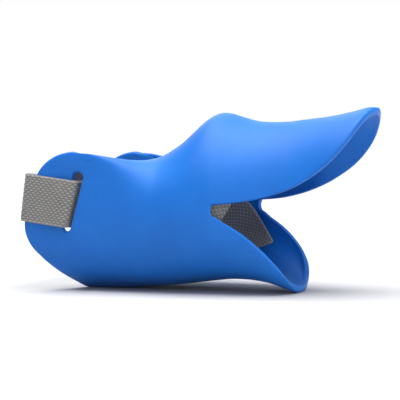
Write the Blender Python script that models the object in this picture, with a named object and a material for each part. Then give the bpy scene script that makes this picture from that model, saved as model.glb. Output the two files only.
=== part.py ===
"""Duck-bill dog muzzle: a one-piece silicone shell, two webbing straps threaded
through its rear slots, and a 20 mm side-release buckle that joins them behind
the shell.  Units are metres.  +X points out of the bill, +Y to the wearer's
left, +Z up.  The origin is at the middle of the object's footprint, on the
surface it stands on."""

import math

import bmesh
import bpy
import numpy as np
from mathutils import Matrix, Vector
from mathutils.bvhtree import BVHTree

MM = 0.001

# ---------------------------------------------------------------- dimensions
WALL = 2.8                # silicone wall
GAP = 0.35                # clearance between pieces that touch
STAND_Z = -37.7           # height of the standing plane in the stations below
CENTRE_X = 5.14           # station X of the footprint's middle
WEB_WIDTH = 20.0          # webbing
WEB_THICK = 1.2
STRAP_TILT = 7.5          # degrees the straps run down towards the bill
STRAP_REF = (-65.6, 1.6)  # X, Z of the strap's middle where it folds round the flap
SLOT_CENTRE = (-44.1, -0.2)
SLOT_LENGTH = 25.4
SLOT_WIDTH = 4.4
SLOT_TILT = 15.0          # degrees, top end forward
BUCKLE_X = 7.1            # buckle plane, forward of the strap's fold
BUCKLE_HALF_W = 12.0
BUCKLE_HALF_T = 3.75
PRONG_LENGTH = 12.0
SOCKET_MOUTH_Y = 0.0
PLUG_SHOULDER_Y = 0.4


def curve(stations, x):
    """Smooth value at x through hand-set (x, value) stations."""
    xs = [s[0] for s in stations]
    ys = [s[1] for s in stations]
    if x <= xs[0]:
        return ys[0] + (x - xs[0]) * (ys[1] - ys[0]) / (xs[1] - xs[0])
    if x >= xs[-1]:
        return ys[-1] + (x - xs[-1]) * (ys[-1] - ys[-2]) / (xs[-1] - xs[-2])
    k = max(i for i in range(len(xs) - 1) if xs[i] <= x)

    def slope(i):
        if i == 0:
            return (ys[1] - ys[0]) / (xs[1] - xs[0])
        if i == len(xs) - 1:
            return (ys[-1] - ys[-2]) / (xs[-1] - xs[-2])
        a = (ys[i] - ys[i - 1]) / (xs[i] - xs[i - 1])
        b = (ys[i + 1] - ys[i]) / (xs[i + 1] - xs[i])
        wa, wb = xs[i + 1] - xs[i], xs[i] - xs[i - 1]
        return (a * wa + b * wb) / (wa + wb)

    h = xs[k + 1] - xs[k]
    t = (x - xs[k]) / h
    return ((2 * t**3 - 3 * t**2 + 1) * ys[k] + (t**3 - 2 * t**2 + t) * h * slope(k)
            + (3 * t**2 - 2 * t**3) * ys[k + 1] + (t**3 - t**2) * h * slope(k + 1))


# -------------------------------------------------- the shell's cross-sections
# Each table is (station X, value in mm).  Up to the mouth corner at X = 16 the
# section is one closed ring; beyond it the upper bill and the lower lip part.
RIDGE_Z = [(-15.4, 18.8), (-9.1, 21.6), (-3.6, 25.5), (1.8, 30.7), (5.5, 34.2), (9.9, 36.8), (14, 36.8),
           (18, 35.6), (26, 33.5), (33, 33.0), (40, 33.2), (47, 34.0), (58, 35.3), (68, 37.3), (74.5, 38.8), (77.2, 38.6)]
KEEL_Z = [(-15.4, -36.6), (-8, -36.0), (0, -35.0), (8, -33.9), (16, -33.0), (23, -33.0), (29, -33.5), (34, -34.4),
          (39, -36.1), (43, -37.6), (46, -38.2)]
UPPER_W = [(-15.4, 34.6), (0, 34.8), (10, 34.9), (16, 34.7), (22, 32.7), (30, 29.4), (38, 26.6), (46, 25.0), (54, 25.3),
           (62, 26.0), (70, 26.0), (77.2, 25.4)]
LOWER_W = [(-15.4, 34.6), (0, 34.8), (10, 34.9), (16, 34.7), (22, 32.6), (30, 30.6), (36, 28.4), (40, 26.2), (43, 23.2),
           (45, 19.5), (46, 17.5)]
UPPER_MID = [(-15.4, -7.8), (0, -5.8), (10, -3.7), (16, -2.8), (22, -2.0), (30, -0.7), (38, 0.9), (46, 3.0), (54, 6.2),
             (62, 10.5), (70, 15.2), (77.2, 18.0)]
LOWER_MID = [(-15.4, -7.8), (0, -5.8), (10, -3.7), (16, -2.8), (22, -6.9), (30, -11.3), (36, -14.6), (40, -16.5),
             (43, -17.0), (46, -17.0)]

# How square the section's upper half is (2 is an ellipse).
UPPER_POWER = [(-15.4, 2.6), (-7, 2.3), (0, 2.1), (8, 2.0), (16, 2.0), (26, 2.0), (77.2, 2.0)]

# Front rim: for each flow line, named by its angle round the ring from the
# ridge (0) to the keel (180): where it ends (X) and at which section angle.
FRONT_X = [(0, 77.1), (9, 76.4), (18, 75.1), (27, 73.2), (36, 70.6), (45, 66.8), (54, 61.4), (62, 54.4), (69, 46.6),
           (75, 38.6), (80, 30.4), (84, 23.6), (87, 19.2), (89, 17.0), (90, 16.3), (91, 16.8), (93, 19.4), (97, 24.4),
           (103, 30.0), (110, 34.8), (118, 38.5), (127, 41.2), (137, 43.1), (150, 44.2), (165, 44.7), (180, 44.8)]
FRONT_ANGLE = [(0, 0), (9, 14), (18, 28), (27, 42), (36, 56), (45, 68), (54, 76.5), (62, 81.2), (69, 84.3), (75, 86.1),
               (80, 86.8), (84, 86.6), (87, 86.4), (89, 87.0), (90, 90), (91, 92.7), (93, 92.7), (97, 93.2), (103, 95.8),
               (110, 101.2), (118, 108.4), (127, 117.2), (137, 128.6), (150, 144.5), (165, 161.5), (180, 180)]

# Rear rim: the open-topped collar.  X, half-width and Z for each flow line.
REAR_X = [(0, -15.2), (15, -16.7), (30, -20.0), (45, -25.4), (58, -31.8), (68, -38.6), (76, -45.3), (83, -51.7),
          (90, -57.1), (98, -61.3), (106, -64.0), (113, -65.3), (121, -63.5), (130, -59.1), (142, -53.8), (155, -50.0),
          (168, -48.0), (180, -47.3)]
REAR_W = [(0, 0), (15, 9.0), (30, 18.0), (45, 27.0), (58, 32.6), (68, 34.6), (76, 35.0), (83, 35.1), (90, 35.1),
          (98, 35.1), (106, 35.0), (113, 34.6), (121, 33.4), (130, 31.0), (142, 26.0), (155, 18.0), (168, 8.8), (180, 0)]
REAR_Z = [(0, 19.2), (15, 17.8), (30, 17.0), (45, 17.6), (58, 18.9), (68, 19.9), (76, 19.7), (83, 17.7), (90, 13.7),
          (98, 6.6), (106, -2.6), (113, -10.9), (121, -17.8), (130, -23.7), (142, -29.7), (155, -34.4), (168, -37.95),
          (180, -38.7)]
COLLAR_X = -15.4 + 8.0    # the ring where the collar's flow lines meet the body


def section(x, angle):
    """Outer surface point (x, half-width y, z) at a section angle from the ridge."""
    a = math.radians(angle)
    if angle <= 90:
        w, mid, end, n = curve(UPPER_W, x), curve(UPPER_MID, x), curve(RIDGE_Z, x), curve(UPPER_POWER, x)
    else:
        w, mid, end, n = curve(LOWER_W, x), curve(LOWER_MID, x), curve(KEEL_Z, x), 2.25
    s, c = math.sin(a), abs(math.cos(a))
    return np.array([x, w * s ** (2 / n), mid + (end - mid) * c ** (2 / n)])


def flow_point(line, t):
    """Outer surface: t runs from -1 at the rear rim, over 0 at the collar ring, to 1 at the front rim."""
    if t >= 0:
        x_end, angle_end = curve(FRONT_X, line), curve(FRONT_ANGLE, line)
        x = COLLAR_X + (x_end - COLLAR_X) * t
        blend = t * t * (3 - 2 * t)
        return section(x, line + (angle_end - line) * blend)
    ring = section(COLLAR_X, line)
    rim = np.array([curve(REAR_X, line), curve(REAR_W, line), curve(REAR_Z, line)])
    chord = ring - rim
    reach = abs(ring[0] - rim[0])
    leave = np.array([reach, 0.0, 0.0]) * 0.9 + chord * 0.1
    ahead = (section(COLLAR_X + 0.5, line) - ring) / 0.5 * reach
    u = t + 1
    point = ((2 * u**3 - 3 * u**2 + 1) * rim + (u**3 - 2 * u**2 + u) * leave
             + (3 * u**2 - 2 * u**3) * ring + (u**3 - u**2) * ahead)
    return point


def flow_normal(line, t):
    """Unit normal of the outer surface, pointing out."""
    here = min(max(line, 0.4), 179.6)
    if t >= 0:
        x_end, angle_end = curve(FRONT_X, here), curve(FRONT_ANGLE, here)
        x = COLLAR_X + (x_end - COLLAR_X) * t
        angle = min(max(here + (angle_end - here) * t * t * (3 - 2 * t), 0.4), 179.6)
        low, high = (angle - 0.3, min(angle + 0.3, 90)) if angle <= 90 else (max(angle - 0.3, 90.01), angle + 0.3)
        along = section(x + 0.2, angle) - section(x - 0.2, angle)
        down = section(x, high) - section(x, low)
    else:
        along = flow_point(here, min(t + 0.01, 0)) - flow_point(here, t - 0.01 if t > -0.99 else t)
        down = flow_point(here + 0.3, t) - flow_point(here - 0.3, t)
    normal = np.cross(along, down)
    if line in (0, 180):
        normal[1] = 0.0
    return normal / np.linalg.norm(normal)


LINES = [0, 8, 16, 25, 34, 43, 52, 60, 67, 73, 78, 82, 85.5, 88.3, 90, 91.7, 94.5, 99, 105, 112, 120, 129, 139, 150, 160, 170, 180]
STEPS = [-1, -0.9, -0.72, -0.5, -0.26, 0, 0.13, 0.26, 0.38, 0.5, 0.62, 0.74, 0.85, 0.94, 1]


def shell_grids():
    """Outer and inner wall as grids [line round the ring][step along it]."""
    half = [[flow_point(line, t) for t in STEPS] for line in LINES]
    for column in half:
        for p in column:
            p[2] = max(p[2], STAND_Z)
    outer = [[p.copy() for p in column] for column in half]
    for column in reversed(half[1:-1]):
        outer.append([p * np.array([1, -1, 1]) for p in column])
    outer = np.array(outer)
    normals = [[flow_normal(line, t) for t in STEPS] for line in LINES]
    normals += [[n * np.array([1, -1, 1]) for n in column] for column in reversed(normals[1:-1])]
    return outer, outer - WALL * np.array(normals)


# ----------------------------------------------------------------- utilities
def to_world(p):
    return Vector(((p[0] - CENTRE_X) * MM, p[1] * MM, (p[2] - STAND_Z) * MM))


def material(name, colour, roughness, metallic=0.0):
    mat = bpy.data.materials.new(name)
    mat.use_nodes = True
    bsdf = mat.node_tree.nodes["Principled BSDF"]
    bsdf.inputs["Base Color"].default_value = (*colour, 1)
    bsdf.inputs["Roughness"].default_value = roughness
    bsdf.inputs["Metallic"].default_value = metallic
    return mat


def add_object(name, verts, faces, mat, smooth=None, origin=None):
    mesh = bpy.data.meshes.new(name)
    base = Vector(origin) if origin is not None else Vector((0, 0, 0))
    mesh.from_pydata([Vector(v) - base for v in verts], [], faces)
    bm = bmesh.new()
    bm.from_mesh(mesh)
    bmesh.ops.recalc_face_normals(bm, faces=bm.faces)
    bm.to_mesh(mesh)
    bm.free()
    obj = bpy.data.objects.new(name, mesh)
    obj.location = base
    obj.data.materials.append(mat)
    bpy.context.scene.collection.objects.link(obj)
    if smooth is not None:
        mesh.shade_smooth()
        mesh.set_sharp_from_angle(angle=math.radians(smooth))
    return obj


TILT = math.radians(STRAP_TILT)
E1 = np.array([math.cos(TILT), 0.0, -math.sin(TILT)])   # along the strap, forward and down
E2 = np.array([0.0, 1.0, 0.0])
E3 = np.array([math.sin(TILT), 0.0, math.cos(TILT)])    # across the strap, up
STRAP_ORIGIN = np.array([STRAP_REF[0], 0.0, STRAP_REF[1]])


def strap_point(a, y, h):
    """Station coordinates of a point a mm forward of the fold, y sideways, h across the strap."""
    return STRAP_ORIGIN + a * E1 + y * E2 + h * E3


def plate(outline, low, high, hole=None):
    """Verts and faces of an outline in the strap frame's (y, h) plane, extruded in a from low to high.
    A hole, given with as many corners as the outline, goes right through."""
    n = len(outline)
    verts = [strap_point(low, y, h) for y, h in outline] + [strap_point(high, y, h) for y, h in outline]
    faces = [[i, (i + 1) % n, n + (i + 1) % n, n + i] for i in range(n)]
    if hole is None:
        faces += [list(range(n))[::-1], list(range(n, 2 * n))]
    else:
        verts += [strap_point(low, y, h) for y, h in hole] + [strap_point(high, y, h) for y, h in hole]
        for i in range(n):
            k = (i + 1) % n
            faces += [[2 * n + k, 2 * n + i, 3 * n + i, 3 * n + k],
                      [k, i, 2 * n + i, 2 * n + k],
                      [n + i, n + k, 3 * n + k, 3 * n + i]]
    return [to_world(v) for v in verts], faces


def round_corners(outline, radius, steps=3):
    """Outline with each convex or concave corner rounded."""
    result = []
    n = len(outline)
    for i in range(n):
        p, a, b = (np.array(outline[k % n], float) for k in (i, i - 1, i + 1))
        u, v = (a - p) / np.linalg.norm(a - p), (b - p) / np.linalg.norm(b - p)
        r = min(radius, 0.45 * np.linalg.norm(a - p), 0.45 * np.linalg.norm(b - p))
        for s in range(steps + 1):
            t = s / steps
            q = (1 - t) ** 2 * (p + u * r) + 2 * t * (1 - t) * p + t * t * (p + v * r)
            result.append((float(q[0]), float(q[1])))
    return result


def join_solid(main, other):
    """Boolean union of two solids, which removes the second one."""
    union = main.modifiers.new("union", "BOOLEAN")
    union.operation = "UNION"
    union.object = other
    bpy.context.view_layer.update()
    graph = bpy.context.evaluated_depsgraph_get()
    mesh = bpy.data.meshes.new_from_object(main.evaluated_get(graph))
    main.modifiers.clear()
    main.data = mesh
    bpy.data.objects.remove(other, do_unlink=True)


def box_solid(name, low, high, mat):
    """Box in the strap frame (a, y, h)."""
    verts, faces = plate([(low[1], low[2]), (high[1], low[2]), (high[1], high[2]), (low[1], high[2])], low[0], high[0])
    return add_object(name, verts, faces, mat)


def ribbon(name, rows, mat):
    """Webbing solid from rows of (points across, thickness vectors)."""
    verts, faces = [], []
    across = len(rows[0][0])
    ring = 2 * across
    for points, offsets in rows:
        verts += [to_world(p + o) for p, o in zip(points, offsets)]
        verts += [to_world(p - o) for p, o in reversed(list(zip(points, offsets)))]
    for r in range(len(rows) - 1):
        for k in range(ring):
            m = (k + 1) % ring
            faces.append([r * ring + k, r * ring + m, (r + 1) * ring + m, (r + 1) * ring + k])
    faces.append(list(range(ring))[::-1])
    last = (len(rows) - 1) * ring
    faces.append(list(range(last, last + ring)))
    return add_object(name, verts, faces, mat, smooth=35)


ACROSS = [-1.0, -0.36, 0.36, 1.0]


def slot_lean(a, y):
    """How far the strap's rows lean forward at the top, to line up with the slot."""
    t = min(max((a - 7.0) / (SLOT_A - 9.0), 0.0), 1.0)
    return math.tan(math.radians(SLOT_TILT - STRAP_TILT)) * t * t * (3 - 2 * t) if abs(y) > 28 else 0.0


def flat_rows(path):
    """Rows of a ribbon that stays flat across: path is a list of (a, y) in the strap frame."""
    rows = []
    for i, (a, y) in enumerate(path):
        p, q = np.array(path[max(i - 1, 0)], float), np.array(path[min(i + 1, len(path) - 1)], float)
        d = (q - p) / np.linalg.norm(q - p)
        normal = -d[1] * E1 + d[0] * E2
        if 0 < i < len(path) - 1:
            u = np.array([a, y]) - p
            v = q - np.array([a, y])
            cosine = float(np.dot(u, v) / np.linalg.norm(u) / np.linalg.norm(v))
            normal = normal / max(0.75, math.sqrt(max(0.0, (1 + cosine) / 2)))
        points = [strap_point(a + slot_lean(a, y) * k * WEB_WIDTH / 2, y, k * WEB_WIDTH / 2) for k in ACROSS]
        rows.append((points, [normal * WEB_THICK / 2] * len(ACROSS)))
    return rows


def smooth_path(points, spacing=2.6):
    """Evenly spaced points on a smooth curve through the given ones."""
    pts = [np.array(p, float) for p in points]
    pts = [2 * pts[0] - pts[1]] + pts + [2 * pts[-1] - pts[-2]]
    dense = []
    for i in range(1, len(pts) - 2):
        p0, p1, p2, p3 = pts[i - 1:i + 3]
        for s in range(16):
            t = s / 16
            dense.append(0.5 * (2 * p1 + (p2 - p0) * t + (2 * p0 - 5 * p1 + 4 * p2 - p3) * t * t
                                + (3 * p1 - p0 - 3 * p2 + p3) * t**3))
    dense.append(pts[-2])
    lengths = np.concatenate([[0], np.cumsum([np.linalg.norm(b - a) for a, b in zip(dense, dense[1:])])])
    count = max(2, int(round(lengths[-1] / spacing)))
    dense = np.array(dense)
    return [np.array([np.interp(lengths[-1] * k / count, lengths, dense[:, c]) for c in range(dense.shape[1])])
            for k in range(count + 1)]


# ================================================================ build it all
for old in list(bpy.data.objects):
    bpy.data.objects.remove(old, do_unlink=True)
bpy.context.scene.unit_settings.scale_length = 1.0

silicone = material("blue_silicone", (0.02, 0.17, 0.62), 0.55)
webbing = material("grey_webbing", (0.28, 0.27, 0.25), 0.9)
plastic = material("grey_acetal", (0.10, 0.10, 0.10), 0.42)
elastic = material("dark_elastic", (0.12, 0.12, 0.12), 0.85)
fuzz = material("loop_tape", (0.16, 0.17, 0.16), 1.0)
hooks = material("hook_tape", (0.14, 0.15, 0.14), 0.7)

# ---- silicone shell: two walls joined round both rims, with a slot in each flap
outer, inner = shell_grids()
rings, steps = outer.shape[0], outer.shape[1]
verts, faces = [], []
for grid in (outer, inner):
    verts += [to_world(p) for column in grid for p in column]
size = rings * steps


def rim_points(i, outward):
    """A line of points round a rim, pushed out square to the rim so that the lip is rounded."""
    back = 1 if i == 0 else i - 1
    push = np.array([np.cross(outer[(j + 1) % rings][i] - outer[j - 1][i], outer[j][i] - inner[j][i]) for j in range(rings)])
    push *= np.sign(np.sum(push * (outer[:, i] - outer[:, back])))
    push /= np.linalg.norm(push, axis=1)[:, None]
    return [to_world(p) for p in (outer[:, i] + inner[:, i]) / 2 + push * outward]


rear_rim = len(verts)
verts += rim_points(0, 0.9)
front_rim = len(verts)
verts += rim_points(steps - 1, 0.5)
for j in range(rings):
    k = (j + 1) % rings
    for i in range(steps - 1):
        a, b = j * steps + i, k * steps + i
        faces.append([a, b, b + 1, a + 1])
        faces.append([size + b, size + a, size + a + 1, size + b + 1])
    faces.append([j * steps, rear_rim + j, rear_rim + k, k * steps])
    faces.append([rear_rim + j, size + j * steps, size + k * steps, rear_rim + k])
    a, b = j * steps + steps - 1, k * steps + steps - 1
    faces.append([a, b, front_rim + k, front_rim + j])
    faces.append([front_rim + j, front_rim + k, size + b, size + a])
shell = add_object("bill_shell", verts, faces, silicone, smooth=40)

slot = math.radians(SLOT_TILT)
slot_u = np.array([math.sin(slot), 0, math.cos(slot)])
slot_v = np.array([math.cos(slot), 0, -math.sin(slot)])
slot_mid = np.array([SLOT_CENTRE[0], 0, SLOT_CENTRE[1]])
for side in (1, -1):
    corners = []
    for y in (26.0 * side, 42.0 * side):
        for su, sv in ((-1, -1), (1, -1), (1, 1), (-1, 1)):
            corners.append(to_world(slot_mid + slot_u * su * SLOT_LENGTH / 2 + slot_v * sv * SLOT_WIDTH / 2
                                    + np.array([0, y, 0])))
    cutter = add_object("slot_cutter_" + ("left" if side > 0 else "right"), corners,
                        [[0, 1, 2, 3], [7, 6, 5, 4], [0, 4, 5, 1], [1, 5, 6, 2], [2, 6, 7, 3], [3, 7, 4, 0]], silicone)
    cutter.hide_render = True
    cutter.display_type = "WIRE"
    cut = shell.modifiers.new("slot", "BOOLEAN")
    cut.operation = "DIFFERENCE"
    cut.object = cutter

# ---- inner wall, to lay the inner legs of the webbing on it
flat_inner = [tuple(p) for column in inner for p in column]
wall_faces = []
for j in range(rings):
    k = (j + 1) % rings
    for i in range(steps - 1):
        wall_faces.append((j * steps + i, k * steps + i, k * steps + i + 1, j * steps + i + 1))
wall_tree = BVHTree.FromPolygons(flat_inner, wall_faces)


def wall_y(x, z):
    hit = wall_tree.ray_cast(Vector((x, 0.0, z)), Vector((0, 1, 0)))
    return hit[0].y if hit[0] is not None else curve(UPPER_W, x) - WALL


def on_wall(x, s, side, clear):
    """Point on the inner wall at x, s mm round the wall from Z = 0 (down is negative), clear mm inside it."""
    z, left = 0.0, abs(s)
    step = 0.5 if s >= 0 else -0.5
    y = wall_y(x, z)
    while left > 1e-6:
        y2 = wall_y(x, z + step)
        d = math.hypot(y2 - y, step)
        if d >= left:
            z += step * left / d
            y += (y2 - y) * left / d
            break
        left -= d
        z, y = z + step, y2
    slope = (wall_y(x, z + 0.5) - wall_y(x, z - 0.5))
    length = (wall_y(x + 0.5, z) - wall_y(x - 0.5, z))
    normal = np.array([length, -1.0, slope])
    normal /= np.linalg.norm(normal)
    point = np.array([x, y, z]) + normal * clear
    return point * np.array([1, side, 1]), normal * np.array([1, side, 1])


def wall_rows(path, side, clear, half_width=WEB_WIDTH / 2, thick=WEB_THICK):
    """Rows of a ribbon lying on the inner wall; path holds (x, s) points."""
    rows = []
    for i, p in enumerate(path):
        a, b = path[max(i - 1, 0)], path[min(i + 1, len(path) - 1)]
        d = (b - a) / np.linalg.norm(b - a)
        width = np.array([-d[1], d[0]])
        points, offsets = [], []
        free = i / (len(path) - 1)
        stand_off = clear + FREE_END_LIFT * max(0.0, free - 0.6) / 0.4 + 0.5 * max(0.0, 1 - free * 5)
        for k in ACROSS:
            q = p + width * k * half_width
            point, normal = on_wall(q[0], q[1], side, stand_off)
            points.append(point)
            offsets.append(-normal * thick / 2 * side)
        rows.append((points, offsets))
    return rows


FLAP_OUT = 35.05 + GAP + WEB_THICK / 2     # the webbing's middle outside the flap
FOLD_R = 2.5
FREE_END_LIFT = 1.0                        # the free ends stand a little off the wall
SLOT_A = 21.65                             # where the slot lies along the strap


def side_path(side, tail):
    """The strap's path in the strap frame, from the buckle end (tail) to the slot."""
    fold = []
    for k in range(7):
        angle = math.pi * k / 6
        fold.append((FOLD_R + 0.2 - FOLD_R * math.sin(angle), FLAP_OUT - FOLD_R - FOLD_R * math.cos(angle)))
    outer_leg = [(FOLD_R + 0.2 + k * (SLOT_A - 1.6 - FOLD_R) / 7, FLAP_OUT) for k in range(1, 8)]
    return [(a, y * side) for a, y in tail + fold + outer_leg]


def webbing_object(name, side, tail, inner_path, clear):
    path = side_path(side, tail)
    rows = flat_rows(path)
    # through the slot: the ribbon turns in, crosses the wall and turns onto it
    through = [(SLOT_A - 0.5, FLAP_OUT - 0.5), (SLOT_A - 0.25, FLAP_OUT - 1.7), (SLOT_A - 0.15, FLAP_OUT - 3.3),
               (SLOT_A + 0.15, FLAP_OUT - 4.9)]
    rows = rows[:-1] + flat_rows([path[-1]] + [(a, y * side) for a, y in through] + [(SLOT_A + 1.2, (FLAP_OUT - 5.6) * side)])[:-1]
    leg = wall_rows(smooth_path(inner_path, 4.0), side, clear)
    first = rows[-1]
    # the side rows run with their width up; the wall rows do too
    rows += [(points, [o if np.dot(o, first[1][0]) >= 0 or True else -o for o in offsets]) for points, offsets in leg]
    return rows


BAR = 1.0                                  # half the side of a strap bar
bar_r = BAR + 0.55 + WEB_THICK / 2
B = BUCKLE_X


def bar_loop(bar_y, toward, leg_end, straight):
    """Path round a buckle bar: short leg in front, round the bar, long leg behind it.
    All y are for the left side; toward is +1 when the strap leaves the bar to larger y."""
    path = [(B + bar_r, leg_end)]
    run = leg_end - bar_y
    for k in range(1, 4):
        path.append((B + bar_r, leg_end - run * k / 4))
    for k in range(7):
        angle = math.pi * k / 6
        path.append((B + bar_r * math.cos(angle), bar_y - bar_r * math.sin(angle)))
    for k in range(1, straight + 1):
        path.append((B - bar_r, bar_y + (26.6 - bar_y) * k / straight))
    return path + [(B - bar_r - 0.5, 28.5), (B - bar_r - 1.5, 29.9)]


RIGHT_BAR_Y = 19.8
LEFT_BAR_Y = 9.2

right_leg = [(SLOT_CENTRE[0] + 4.8, -0.9), (-34, -1.0), (-24, -0.9), (-14, -0.5), (-4, -0.4), (5.5, -1.8), (13.0, -5.0), (19.4, -8.6)]
left_leg = [(SLOT_CENTRE[0] + 4.8, -0.9), (-34, -1.0), (-25, -1.0), (-15, -1.1), (-4.0, -2.9), (4.4, -8.6), (10.9, -16.3), (17.2, -25.8)]
rows = webbing_object("right_webbing", -1, bar_loop(RIGHT_BAR_Y, 1, 27.0, 3), right_leg, 0.5 + WEB_THICK / 2)
ribbon("right_webbing", rows, webbing)
rows = webbing_object("left_webbing", 1, bar_loop(LEFT_BAR_Y, 1, 28.2, 7), left_leg, 0.5 + WEB_THICK / 2)
ribbon("left_webbing", rows, webbing)

# ---- hook and loop patches sewn to the inner legs, on the side that faces the snout
patch_clear = 0.5 + WEB_THICK + GAP + 1.0
loop_path = smooth_path([(-22, -0.8), (-14, -0.5), (-4, -0.4), (3.0, -1.2)], 5.0)
ribbon("loop_patch", wall_rows(loop_path, -1, patch_clear, 8.5, 1.0), fuzz)
hook_path = smooth_path([(-27, -1.0), (-20, -1.0), (-12, -1.4), (-5.5, -2.7)], 5.0)
ribbon("hook_patch", wall_rows(hook_path, 1, patch_clear, 8.5, 1.0), hooks)

# ---- buckle socket: strap bar, floor wall and two plates round the prongs
W, T = BUCKLE_HALF_W, BUCKLE_HALF_T
bar0, bar1 = -RIGHT_BAR_Y - BAR, -RIGHT_BAR_Y + BAR
frame = round_corners([(bar0, -W), (-14.4, -W), (-14.4, W), (bar0, W)], 2.0)
window = round_corners([(bar1, -10.6), (-15.9, -10.6), (-15.9, 10.6), (bar1, 10.6)], 0.6)
verts, faces = plate(frame, B - BAR, B + BAR, window)
socket = add_object("buckle_socket", verts, faces, plastic, smooth=30)
for low, high in (((B - T, -16.0 + 0.1, -W), (B + T, -13.0, W)),):
    join_solid(socket, box_solid("wall", low, high, plastic))
for low, high in ((B - T, B - 2.5), (B + 2.5, B + T)):
    outline = round_corners([(-14.0, -W), (SOCKET_MOUTH_Y, -W + 1.4), (SOCKET_MOUTH_Y, W - 1.4), (-14.0, W)], 1.6)
    verts, faces = plate(outline, low, high)
    join_solid(socket, add_object("plate", verts, faces, plastic))

# ---- buckle plug: shoulder, centre tongue and strap bar
PS = PLUG_SHOULDER_Y
bar0, bar1 = LEFT_BAR_Y - BAR, LEFT_BAR_Y + BAR
frame = round_corners([(PS, -W + 0.4), (bar1, -W + 0.4), (bar1, W - 0.4), (PS, W - 0.4)], 1.8)
window = round_corners([(4.4, -10.6), (bar0, -10.6), (bar0, 10.6), (4.4, 10.6)], 0.6)
verts, faces = plate(frame, B - BAR, B + BAR, window)
plug = add_object("buckle_plug", verts, faces, plastic, smooth=30)
join_solid(plug, box_solid("shoulder", (B - 3.2, PS + 0.05, -W + 1.0), (B + 3.2, 3.6, W - 1.0), plastic))
join_solid(plug, box_solid("tongue", (B - 1.8, -9.5, -2.2), (B + 1.8, 1.0, 2.2), plastic))

# ---- spring prongs, hinged where they flex out of the plug's shoulder
for name, sign in (("upper_prong", 1), ("lower_prong", -1)):
    pivot = to_world(strap_point(B, PS - 0.3, 8.0 * sign))
    outline = [(PS - 0.3, 6.9), (PS - 0.3, 9.1), (-5.0, 9.6), (-8.4, 11.9), (-10.2, 11.7), (-12.0, 8.6), (-11.4, 7.4),
               (-6.0, 7.2)]
    outline = [(y, h * sign) for y, h in outline]
    outline = round_corners(outline, 0.9, 2)
    verts, faces = plate(outline, B - 2.0, B + 2.0)
    prong = add_object(name, verts, faces, plastic, smooth=30, origin=pivot)

# ---- elastic keeper that holds the strap's free tail
K0, K1 = 24.6, 27.0
ring_out = [(B - 4.0, -11.6), (B + 4.0, -11.6), (B + 4.0, 11.6), (B - 4.0, 11.6)]
ring_in = [(B - 3.05, -10.4), (B + 3.05, -10.4), (B + 3.05, 10.4), (B - 3.05, 10.4)]
ring_out, ring_in = round_corners(ring_out, 1.4), round_corners(ring_in, 0.6)
n = len(ring_out)
verts = [strap_point(a, y, h) for y in (K0, K1) for ring in (ring_out, ring_in) for a, h in ring]
faces = []
for i in range(n):
    k = (i + 1) % n
    faces += [[i, k, 2 * n + k, 2 * n + i], [n + k, n + i, 3 * n + i, 3 * n + k],
              [k, i, n + i, n + k], [2 * n + i, 2 * n + k, 3 * n + k, 3 * n + i]]
add_object("strap_keeper", [to_world(v) for v in verts], faces, elastic, smooth=30)
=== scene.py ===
"""Looks of the duck-bill dog muzzle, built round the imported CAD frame."""

import math

import bmesh
import bpy
import numpy as np
from mathutils import Matrix, Vector
from mathutils.bvhtree import BVHTree


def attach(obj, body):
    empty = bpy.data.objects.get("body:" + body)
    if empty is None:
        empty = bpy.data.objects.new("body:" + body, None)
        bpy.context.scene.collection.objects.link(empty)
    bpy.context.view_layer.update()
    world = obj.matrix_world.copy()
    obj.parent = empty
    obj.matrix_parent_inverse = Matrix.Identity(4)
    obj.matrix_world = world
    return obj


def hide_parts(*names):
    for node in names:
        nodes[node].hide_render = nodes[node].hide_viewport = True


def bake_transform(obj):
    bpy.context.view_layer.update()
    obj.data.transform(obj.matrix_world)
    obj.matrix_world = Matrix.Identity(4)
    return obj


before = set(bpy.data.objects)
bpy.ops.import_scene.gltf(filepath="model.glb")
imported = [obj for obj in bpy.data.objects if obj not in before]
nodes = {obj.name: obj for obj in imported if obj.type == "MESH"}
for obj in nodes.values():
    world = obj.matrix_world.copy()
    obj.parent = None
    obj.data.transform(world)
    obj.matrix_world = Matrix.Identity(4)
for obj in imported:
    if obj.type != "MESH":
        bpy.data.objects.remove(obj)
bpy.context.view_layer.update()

MM = 0.001

# ------------------------------------------------------------ design numbers
WALL = 2.8
GAP = 0.35
STAND_Z = -37.7
CENTRE_X = 5.14
WEB_WIDTH = 20.0
WEB_THICK = 1.2
STRAP_TILT = 7.5
STRAP_REF = (-65.6, 1.6)
SLOT_CENTRE = (-44.1, -0.2)
SLOT_LENGTH = 25.4
SLOT_WIDTH = 4.4
SLOT_TILT = 15.0
BUCKLE_X = 7.1
FREE_END_LIFT = 1.0
SLOT_A = 21.65
BAR = 1.0
RIGHT_BAR_Y = 19.8
LEFT_BAR_Y = 9.2


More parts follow.
